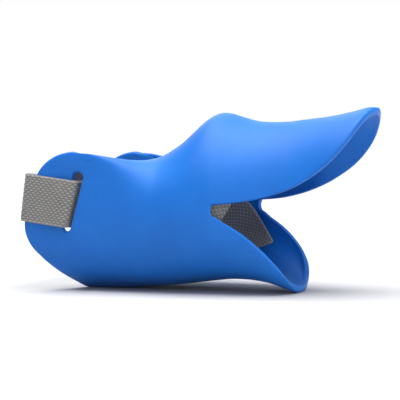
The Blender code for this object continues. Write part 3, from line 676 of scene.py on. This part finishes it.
def webbing_piece(name, rows, mat, width=WEB_WIDTH, thick=WEB_THICK, along=0.30, cells=84, relief=0.15,
                  round_start=1.6, round_end=1.6):
    rows = np.array(rows)                                   # (R, K, 3)
    mid = rows[:, rows.shape[1] // 2]
    lengths = np.concatenate([[0], np.cumsum(np.linalg.norm(mid[1:] - mid[:-1], axis=1))])
    total = lengths[-1]
    count = int(round(total / along))
    us = np.linspace(0, total, count + 1)
    sheet = catmull(lengths, rows, us)                       # fine along
    v0 = ACROSS * width / 2
    vs = np.linspace(-width / 2, width / 2, cells + 1)
    fine = np.stack([catmull(v0, sheet[r], vs) for r in range(len(us))])   # (U, V, 3)
    # rounded corners at the cut ends
    for r, u in enumerate(us):
        trim = 0.0
        for dist, radius in ((u, round_start), (total - u, round_end)):
            if radius and dist < radius:
                trim = max(trim, radius - math.sqrt(max(0.0, radius**2 - (radius - dist) ** 2)))
        if trim:
            scaled = vs * (width / 2 - trim) / (width / 2)
            fine[r] = catmull(v0, sheet[r], scaled)
    du = np.gradient(fine, axis=0)
    dv = np.gradient(fine, axis=1)
    normal = np.cross(du, dv)
    normal /= np.linalg.norm(normal, axis=2)[:, :, None]
    uu, vv = np.meshgrid(us, vs, indexing="ij")
    edge = np.clip((width / 2 - np.abs(vv)) / 0.7, 0, 1)
    edge = np.sqrt(np.clip(1 - (1 - edge) ** 2, 0, 1))
    half = (thick / 2 - relief) * (0.45 + 0.55 * edge)
    top = fine + normal * (half + relief * weave_height(uu, vv) * (0.3 + 0.7 * edge))[:, :, None]
    low = fine - normal * (half + relief * weave_height(uu + 1.7, vv) * (0.3 + 0.7 * edge))[:, :, None]
    U, V = len(us), len(vs)
    verts = [to_world(p) for p in top.reshape(-1, 3)] + [to_world(p) for p in low.reshape(-1, 3)]
    faces, uvs = [], []
    size = U * V

    def add(idx, coords):
        faces.append(idx)
        uvs.append(coords)

    for r in range(U - 1):
        for c in range(V - 1):
            a, b, d, e = r * V + c, (r + 1) * V + c, (r + 1) * V + c + 1, r * V + c + 1
            q = [(us[r], vs[c]), (us[r + 1], vs[c]), (us[r + 1], vs[c + 1]), (us[r], vs[c + 1])]
            add([a, b, d, e], q)
            q2 = [(x + 1.7, y) for x, y in q]
            add([size + e, size + d, size + b, size + a], [q2[3], q2[2], q2[1], q2[0]])
    for r in range(U - 1):
        for c, flip in ((0, False), (V - 1, True)):
            a, b = r * V + c, (r + 1) * V + c
            idx = [a, size + a, size + b, b]
            q = [(us[r], vs[c]), (us[r], vs[c]), (us[r + 1], vs[c]), (us[r + 1], vs[c])]
            add(idx[::-1] if flip else idx, q[::-1] if flip else q)
    for c in range(V - 1):
        for r, flip in ((0, True), (U - 1, False)):
            a, b = r * V + c, r * V + c + 1
            idx = [a, size + a, size + b, b]
            q = [(us[r], vs[c]), (us[r], vs[c]), (us[r], vs[c + 1]), (us[r], vs[c + 1])]
            add(idx[::-1] if flip else idx, q[::-1] if flip else q)
    mesh = bpy.data.meshes.new(name)
    mesh.from_pydata([tuple(v) for v in verts], [], faces)
    layer = mesh.uv_layers.new(name="weave")
    flat = np.array([c for q in uvs for c in q], np.float32).reshape(-1)
    layer.data.foreach_set("uv", flat)
    bm = bmesh.new()
    bm.from_mesh(mesh)
    bmesh.ops.recalc_face_normals(bm, faces=bm.faces)
    bm.to_mesh(mesh)
    bm.free()
    mesh.shade_smooth()
    mesh.materials.append(mat)
    obj = bpy.data.objects.new(name, mesh)
    bpy.context.scene.collection.objects.link(obj)
    return obj


right_leg = [(SLOT_CENTRE[0] + 4.8, -0.9), (-34, -1.0), (-24, -0.9), (-14, -0.5), (-4, -0.4), (5.5, -1.8), (13.0, -5.0), (19.4, -8.6)]
left_leg = [(SLOT_CENTRE[0] + 4.8, -0.9), (-34, -1.0), (-25, -1.0), (-15, -1.1), (-4.0, -2.9), (4.4, -8.6), (10.9, -16.3), (17.2, -25.8)]

right_rows = side_rows(-1, bar_loop(RIGHT_BAR_Y, 27.0)) + wall_sheet(smooth_path(right_leg, 2.0), -1, 0.45 + WEB_THICK / 2)
left_rows = side_rows(1, bar_loop(LEFT_BAR_Y, 28.2)) + wall_sheet(smooth_path(left_leg, 2.0), 1, 0.45 + WEB_THICK / 2)
right_web = webbing_piece("right_strap", right_rows, web_grey)
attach(right_web, "shell")
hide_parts("right_webbing")
left_web = webbing_piece("left_strap", left_rows, web_grey, thick=WEB_THICK - 0.1)    # clears the keeper
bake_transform(left_web)
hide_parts("left_webbing")

# ------------------------------------------------- hook and loop on the legs
def patch_piece(name, path, side, mat, node, tufts, hooked):
    """A sewn patch: a woven base with real loops or hooks standing on it, and its stitching."""
    half = 8.3
    base_clear = 0.45 + WEB_THICK + GAP + 1.05
    rows = np.array(wall_sheet(smooth_path(path, 1.2), side, base_clear, half, 0.0))
    mid = rows[:, 4]
    lengths = np.concatenate([[0], np.cumsum(np.linalg.norm(mid[1:] - mid[:-1], axis=1))])
    us = np.linspace(0, lengths[-1], int(lengths[-1] / 0.5) + 1)
    sheet = catmull(lengths, rows, us)
    vs = np.linspace(-half, half, 34)
    grid = np.stack([catmull(ACROSS * half, sheet[r], vs) for r in range(len(us))])
    du, dv = np.gradient(grid, axis=0), np.gradient(grid, axis=1)
    normal = np.cross(du, dv)
    normal /= np.linalg.norm(normal, axis=2)[:, :, None]
    inward = np.sign(np.mean(normal[:, :, 1])) * -side         # towards the snout
    normal = normal * inward
    U, V = len(us), len(vs)
    for r, u in enumerate(us):                                  # rounded corners
        near = min(u, lengths[-1] - u)
        if near < 2.0:
            trim = 2.0 - math.sqrt(max(0.0, 4.0 - (2.0 - near) ** 2))
            grid[r] = catmull(ACROSS * half, sheet[r], vs * (half - trim) / half)
    rim = np.minimum.outer(np.minimum(us, lengths[-1] - us), np.full(V, 99.0))
    rim = np.minimum(rim, (half - np.abs(vs))[None, :])
    crown = 0.36 * np.sqrt(np.clip(rim / 0.9, 0, 1))
    top = grid + normal * (0.05 + crown)[:, :, None]
    low = grid - normal * 0.36
    verts = [to_world(p) for p in top.reshape(-1, 3)] + [to_world(p) for p in low.reshape(-1, 3)]
    faces, size = [], U * V
    for r in range(U - 1):
        for c in range(V - 1):
            a, b, d, e = r * V + c, (r + 1) * V + c, (r + 1) * V + c + 1, r * V + c + 1
            faces += [[a, b, d, e], [size + e, size + d, size + b, size + a]]
    for r in range(U - 1):
        for c in (0, V - 1):
            a, b = r * V + c, (r + 1) * V + c
            faces.append([a, size + a, size + b, b])
    for c in range(V - 1):
        for r in (0, U - 1):
            a, b = r * V + c, r * V + c + 1
            faces.append([a, size + a, size + b, b])
    base = new_object(name, verts, faces, mat, smooth=50)
    # the pile: small closed loops, or hooks, of three-sided thread
    rng = np.random.default_rng(7 + int(hooked))
    verts, faces = [], []

    def tube(points, radius):
        start = len(verts)
        for k, p in enumerate(points):
            d = points[min(k + 1, len(points) - 1)] - points[max(k - 1, 0)]
            d = d / np.linalg.norm(d)
            side_v = np.cross(d, np.array([0.3, 0.9, 0.2]))
            side_v /= np.linalg.norm(side_v)
            other = np.cross(d, side_v)
            for q in range(3):
                a = 2 * math.pi * q / 3
                verts.append(to_world(p + radius * (math.cos(a) * side_v + math.sin(a) * other)))
        for k in range(len(points) - 1):
            for q in range(3):
                m = (q + 1) % 3
                faces.append([start + 3 * k + q, start + 3 * k + m, start + 3 * k + 3 + m, start + 3 * k + 3 + q])
        faces.append([start, start + 2, start + 1])
        last = start + 3 * (len(points) - 1)
        faces.append([last, last + 1, last + 2])

    count_u, count_v = tufts
    for r in range(count_u):
        for c in range(count_v):
            fu = 0.045 + 0.91 * (r + 0.5 + rng.uniform(-0.3, 0.3) * (not hooked)) / count_u
            fv = 0.05 + 0.90 * (c + 0.5 * (r % 2) + rng.uniform(-0.25, 0.25) * (not hooked)) / count_v
            iu, iv = int(fu * (U - 1)), int(min(fv, 0.95) * (V - 1))
            p, n = top[iu, iv], normal[iu, iv]
            along = du[iu, iv] / np.linalg.norm(du[iu, iv])
            over = np.cross(n, along)
            yaw = rng.uniform(0, math.pi) if not hooked else (0.0 if r % 2 else math.pi)
            lean = along * math.cos(yaw) + over * math.sin(yaw)
            h = 0.42
            if hooked:
                path3 = [p - n * 0.1, p + n * h * 0.6, p + n * h + lean * 0.08, p + n * h * 1.02 + lean * 0.26, p + n * h * 0.72 + lean * 0.36]
                tube(path3, 0.085)
            else:
                w = rng.uniform(0.22, 0.36)
                path3 = [p - n * 0.1 - lean * w * 0.6, p + n * h * 0.6 - lean * w, p + n * h, p + n * h * 0.6 + lean * w, p - n * 0.1 + lean * w * 0.6]
                tube(path3, 0.075)
    pile = new_object(name + "_pile", verts, faces, mat, smooth=180)
    # two rows of stitches down the sides
    verts, faces = [], []
    for sv in (-half + 0.85, half - 0.85):
        run = catmull(ACROSS * half, sheet.transpose(1, 0, 2), np.array([sv]))[0]
        runl = np.concatenate([[0], np.cumsum(np.linalg.norm(run[1:] - run[:-1], axis=1))])
        t = 2.2
        while t < runl[-1] - 3.6:
            pts = []
            for k in range(5):
                q = np.array([np.interp(t + 1.5 * k / 4, runl, run[:, c]) for c in range(3)])
                row = int(np.clip(np.searchsorted(runl, t), 0, U - 1))
                col = 2 if sv < 0 else V - 3
                pts.append(q + normal[row, col] * (0.36 + 0.16 * math.sin(math.pi * k / 4)))
            tube(pts, 0.14)
            t += 2.1
    seam = new_object(name + "_stitching", verts, faces, thread, smooth=180)
    for piece in (base, pile, seam):
        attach(piece, "shell")
        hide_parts(node)


loop_line = [(-22, -0.8), (-14, -0.5), (-4, -0.4), (3.0, -1.2)]
hook_line = [(-27, -1.0), (-20, -1.0), (-12, -1.4), (-5.5, -2.7)]
patch_piece("loop_tape", loop_line, -1, loop_pile, "loop_patch", (36, 24), False)
patch_piece("hook_tape_patch", hook_line, 1, hook_pile, "hook_patch", (34, 24), True)


# ------------------------------------------------------- bar-tacks and seams
def tack(name, centre_of, rows, width, pitch, body, node):
    """A zigzag bar-tack of real thread, laid on the webbing."""
    verts, faces = [], []
    points = []
    steps_ = int(rows / pitch)
    for k in range(steps_ + 1):
        side_ = width / 2 if k % 2 else -width / 2
        for q in range(6):
            f = q / 6
            points.append((k * pitch + f * pitch - rows / 2, side_ * (1 - 2 * f)))
    pts = [centre_of(u, v) for u, v in points]
    count = 4
    for k, p in enumerate(pts):
        d = pts[min(k + 1, len(pts) - 1)] - pts[max(k - 1, 0)]
        d = d / np.linalg.norm(d)
        up_ = np.cross(d, np.array([1.0, 0.13, 0.2]))
        up_ /= np.linalg.norm(up_)
        other = np.cross(d, up_)
        for q in range(count):
            a = 2 * math.pi * q / count
            verts.append(to_world(p + 0.17 * (math.cos(a) * up_ + math.sin(a) * other)))
    for k in range(len(pts) - 1):
        for q in range(count):
            m = (q + 1) % count
            faces.append([count * k + q, count * k + m, count * (k + 1) + m, count * (k + 1) + q])
    faces.append(list(range(count))[::-1])
    last = count * (len(pts) - 1)
    faces.append(list(range(last, last + count)))
    piece = new_object(name, verts, faces, thread, smooth=180)
    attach(piece, body)
    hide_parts(node)
    return piece


# the right strap is sewn back on itself behind its buckle bar
for k, y in enumerate((23.3,)):
    for face, a in (("outer", B - bar_r - WEB_THICK / 2 - 0.10), ("inner", B + bar_r + WEB_THICK / 2 + 0.10)):
        tack("right_bartack_" + face, lambda u, v, a=a, y=y: strap_point(a, -(y + v), u), 17.0, 1.5, 0.55, "shell", "right_webbing")


# --------------------------------------------------------------- the buckle
def outline_round(outline, radius, count=7):
    result, n = [], len(outline)
    for i in range(n):
        p, a, b = (np.array(outline[k % n], float) for k in (i, i - 1, i + 1))
        u, v = (a - p) / np.linalg.norm(a - p), (b - p) / np.linalg.norm(b - p)
        r = min(radius, 0.45 * np.linalg.norm(a - p), 0.45 * np.linalg.norm(b - p))
        for s in range(count + 1):
            t = s / count
            q = (1 - t) ** 2 * (p + u * r) + 2 * t * (1 - t) * p + t * t * (p + v * r)
            result.append((float(q[0]), float(q[1])))
    return result


def slab(outline, low, high, mat=None):
    """A solid with an outline in the strap frame's (y, h) plane, from a = low to a = high."""
    n = len(outline)
    verts = [to_world(strap_point(low, y, h)) for y, h in outline] + [to_world(strap_point(high, y, h)) for y, h in outline]
    faces = [[i, (i + 1) % n, n + (i + 1) % n, n + i] for i in range(n)] + [list(range(n))[::-1], list(range(n, 2 * n))]
    return new_object("slab", verts, faces, mat or acetal)


def across_slab(outline, low, high):
    """A solid with an outline in the (y, a) plane, from h = low to h = high."""
    n = len(outline)
    verts = [to_world(strap_point(a, y, low)) for y, a in outline] + [to_world(strap_point(a, y, high)) for y, a in outline]
    faces = [[i, (i + 1) % n, n + (i + 1) % n, n + i] for i in range(n)] + [list(range(n))[::-1], list(range(n, 2 * n))]
    return new_object("slab", verts, faces, acetal)


def combine(main, other, how):
    mod = main.modifiers.new("join", "BOOLEAN")
    mod.operation = how
    mod.object = other
    freeze(main)
    bpy.data.objects.remove(other, do_unlink=True)
    return main


def finish_plastic(obj, name, node, body, bevel=0.32):
    """Rounds the edges of a moulded piece and shades it."""
    obj.name = name
    obj.data.name = name
    mod = obj.modifiers.new("edges", "BEVEL")
    mod.width = bevel * MM
    mod.segments = 3
    mod.limit_method = "ANGLE"
    mod.angle_limit = math.radians(34)
    mod.use_clamp_overlap = True
    freeze(obj)
    obj.data.shade_smooth()
    obj.data.set_sharp_from_angle(angle=math.radians(46))
    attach(obj, body)
    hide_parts(node)
    return obj


W, T = 12.0, 3.75
# socket: strap bar with a window, back wall, and two side plates
bar0, bar1 = -RIGHT_BAR_Y - BAR, -RIGHT_BAR_Y + BAR
socket = slab(outline_round([(bar0, -W), (-14.4, -W), (-14.4, W), (bar0, W)], 2.4), B - BAR, B + BAR)
combine(socket, slab(outline_round([(bar1, -10.6), (-15.9, -10.6), (-15.9, 10.6), (bar1, 10.6)], 0.6), B - 3, B + 3), "DIFFERENCE")
combine(socket, across_slab(outline_round([(-15.9, B - T), (-13.0, B - T), (-13.0, B + T), (-15.9, B + T)], 0.9, 4), -W, W), "UNION")
for low, high, face in ((B - T, B - 2.5, -1), (B + 2.5, B + T, 1)):
    plate_ = slab(outline_round([(-14.0, -W), (-6.0, -W), (0.0, -W + 1.4), (0.0, W - 1.4), (-6.0, W), (-14.0, W)], 1.8), low, high)
    # a shallow recessed panel, moulded in
    inset_low, inset_high = (low - 1, low + 0.35) if face < 0 else (high - 0.35, high + 1)
    combine(plate_, slab(outline_round([(-11.8, -7.6), (-3.2, -6.2), (-3.2, 6.2), (-11.8, 7.6)], 1.6), inset_low, inset_high), "DIFFERENCE")
    combine(socket, plate_, "UNION")
finish_plastic(socket, "socket_housing", "buckle_socket", "shell")

# plug: shoulder, window for the strap, tongue with a lead-in
bar0, bar1 = LEFT_BAR_Y - BAR, LEFT_BAR_Y + BAR
PS = 0.4
plug = slab(outline_round([(PS, -W + 0.4), (bar1, -W + 0.4), (bar1, W - 0.4), (PS, W - 0.4)], 2.2), B - BAR, B + BAR)
combine(plug, slab(outline_round([(4.4, -10.6), (bar0, -10.6), (bar0, 10.6), (4.4, 10.6)], 0.6), B - 3, B + 3), "DIFFERENCE")
combine(plug, across_slab(outline_round([(PS + 0.05, B - 3.2), (3.6, B - 2.6), (3.6, B + 2.6), (PS + 0.05, B + 3.2)], 0.8, 4), -W + 1.0, W - 1.0), "UNION")
combine(plug, slab(outline_round([(-9.5, -1.1), (-8.0, -2.2), (1.0, -2.2), (1.0, 2.2), (-8.0, 2.2), (-9.5, 1.1)], 0.5, 3), B - 1.8, B + 1.8), "UNION")
finish_plastic(plug, "plug_body", "buckle_plug", "plug", 0.28)

# spring prongs, with a ribbed thumb pad on their outer edge
for name, node, sign, body in (("upper_spring_prong", "upper_prong", 1, "upper_latch"), ("lower_spring_prong", "lower_prong", -1, "lower_latch")):
    outline = [(PS - 0.3, 6.9), (PS - 0.3, 9.1), (-5.0, 9.6), (-8.4, 11.9), (-10.2, 11.7), (-12.0, 8.6), (-11.4, 7.4), (-6.0, 7.2)]
    outline = outline_round([(y, h * sign) for y, h in outline], 0.9, 5)
    prong = slab(outline, B - 2.0, B + 2.0)
    for k in range(4):
        y = -7.0 - 0.78 * k
        h = 10.75 + 0.35 * min(k, 2) + (0.35 if k == 1 else 0.0)
        notch = slab([(y - 0.16, (h + 0.55) * sign), (y + 0.16, (h + 0.55) * sign), (y + 0.16, (h + 2.0) * sign), (y - 0.16, (h + 2.0) * sign)], B - 1.5, B + 1.5)
        combine(prong, notch, "DIFFERENCE")
    finish_plastic(prong, name, node, body, 0.16)

# elastic keeper: a ribbed band with rolled edges
ring_out = outline_round([(B - 4.0, -11.6), (B + 4.0, -11.6), (B + 4.0, 11.6), (B - 4.0, 11.6)], 1.7, 7)
ring_in = outline_round([(B - 3.05, -10.4), (B + 3.05, -10.4), (B + 3.05, 10.4), (B - 3.05, 10.4)], 1.0, 7)


def resample(outline, count):
    pts = np.array(outline + [outline[0]])
    d = np.concatenate([[0], np.cumsum(np.linalg.norm(pts[1:] - pts[:-1], axis=1))])
    t = np.linspace(0, d[-1], count, endpoint=False)
    return np.stack([np.interp(t, d, pts[:, 0]), np.interp(t, d, pts[:, 1])], 1)


count = 150
ro, ri = resample(ring_out, count), resample(ring_in, count)
K0, K1 = 24.6, 27.0
profile = []                                              # (share from inner to outer, y)
for k in range(25):
    f = k / 24
    rib = 0.5 + 0.5 * math.cos(2 * math.pi * f * 5)
    profile.append((0.88 + 0.12 * rib if 0 < k < 24 else 0.80, K0 + (K1 - K0) * f))
profile += [(0.55, K1 + 0.0), (0.2, K1 - 0.02), (0.04, K1 - 0.25), (0.04, K0 + 0.25), (0.2, K0 + 0.02), (0.55, K0)]
verts = []
for i in range(count):
    for share, y in profile:
        q = ri[i] + (ro[i] - ri[i]) * share
        verts.append(to_world(strap_point(q[0], y, q[1])))
n = len(profile)
faces = [[i * n + k, i * n + (k + 1) % n, ((i + 1) % count) * n + (k + 1) % n, ((i + 1) % count) * n + k] for i in range(count) for k in range(n)]
keeper = new_object("elastic_keeper", verts, faces, elastic, smooth=60)
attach(keeper, "keeper")
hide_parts("strap_keeper")

# ------------------------------------------------------------ stage and light
def area(name, location, target, size, power, colour=(1, 1, 1), size_y=None):
    data = bpy.data.lights.new(name, "AREA")
    data.energy = power
    data.color = colour
    data.size = size
    if size_y:
        data.shape = "RECTANGLE"
        data.size_y = size_y
    obj = bpy.data.objects.new(name, data)
    obj.location = location
    obj.rotation_euler = (Vector(target) - Vector(location)).to_track_quat("-Z", "Y").to_euler()
    bpy.context.scene.collection.objects.link(obj)
    return obj


floor_mesh = bpy.data.meshes.new("floor")
floor_mesh.from_pydata([(-4, -4, 0), (4, -4, 0), (4, 4, 0), (-4, 4, 0)], [], [(0, 1, 2, 3)])
floor = bpy.data.objects.new("floor", floor_mesh)
floor.location = (0, 0, -0.0002)
bpy.context.scene.collection.objects.link(floor)
fg = Graph("floor_white")
fg.set(Roughness=0.9, Specular_IOR_Level=0.1)
reach = fg.node("ShaderNodeVectorMath")
reach.operation = "LENGTH"
fg.link(fg.node("ShaderNodeTexCoord").outputs["Object"], reach.inputs[0])
away = fg.math("DIVIDE", fg.math("SUBTRACT", reach.outputs["Value"], 0.22), 0.95, clamp=True)
fg.link(fg.ramp(away, [(0.0, (0.52, 0.52, 0.525, 1)), (1.0, (0.0, 0.0, 0.0, 1))]), fg.bsdf.inputs["Base Color"])
fg.bsdf.inputs["Emission Color"].default_value = (1, 1, 1, 1)
glow = fg.math("DIVIDE", fg.math("SUBTRACT", reach.outputs["Value"], 0.14), 0.45, clamp=True)
fg.link(glow, fg.bsdf.inputs["Emission Strength"])
floor_mesh.materials.append(fg.mat)

area("overhead_softbox", (0.02, -0.10, 0.85), (0, 0, 0.03), 0.95, 18.5)
area("front_fill", (0.30, -1.1, 0.55), (0, 0, 0.03), 0.8, 2.0)
area("back_rim", (-0.5, 0.9, 0.7), (0, 0, 0.03), 0.7, 3.0)
area("mouth_fill", (0.95, -0.25, 0.22), (0.03, 0, 0.03), 0.55, 3.4)

world = bpy.data.worlds.new("studio")
world.use_nodes = True
wt = world.node_tree
direction = wt.nodes.new("ShaderNodeTexCoord")
parts_ = wt.nodes.new("ShaderNodeSeparateXYZ")
shade = wt.nodes.new("ShaderNodeValToRGB")
wt.links.new(direction.outputs["Generated"], parts_.inputs[0])
wt.links.new(parts_.outputs[2], shade.inputs["Fac"])
shade.color_ramp.elements[0].position = 0.10
shade.color_ramp.elements[0].color = (1.0, 1.0, 1.0, 1)
shade.color_ramp.elements[1].position = 0.20
shade.color_ramp.elements[1].color = (0.24, 0.25, 0.27, 1)
background = wt.nodes["Background"]
wt.links.new(shade.outputs["Color"], background.inputs["Color"])
background.inputs["Strength"].default_value = 1.0
bpy.context.scene.world = world
bpy.context.scene.view_settings.view_transform = "Standard"

# ------------------------------------------------------------------- camera
AZIMUTH, ELEVATION, DISTANCE = math.radians(20.0), math.radians(2.0), 0.612
target = to_world((0, 0, 0))
back = Vector((math.sin(AZIMUTH) * math.cos(ELEVATION), -math.cos(AZIMUTH) * math.cos(ELEVATION), math.sin(ELEVATION)))
right = Vector((math.cos(AZIMUTH), math.sin(AZIMUTH), 0))
up = back.cross(right)
camera_data = bpy.data.cameras.new("camera")
camera_data.lens = 129.2
camera_data.sensor_width = 36.0
camera_data.clip_start = 0.01
camera = bpy.data.objects.new("camera", camera_data)
rotation = Matrix((right, up, back)).transposed().to_4x4()
camera.matrix_world = Matrix.Translation(target + back * DISTANCE) @ rotation
bpy.context.scene.collection.objects.link(camera)
bpy.context.scene.camera = camera
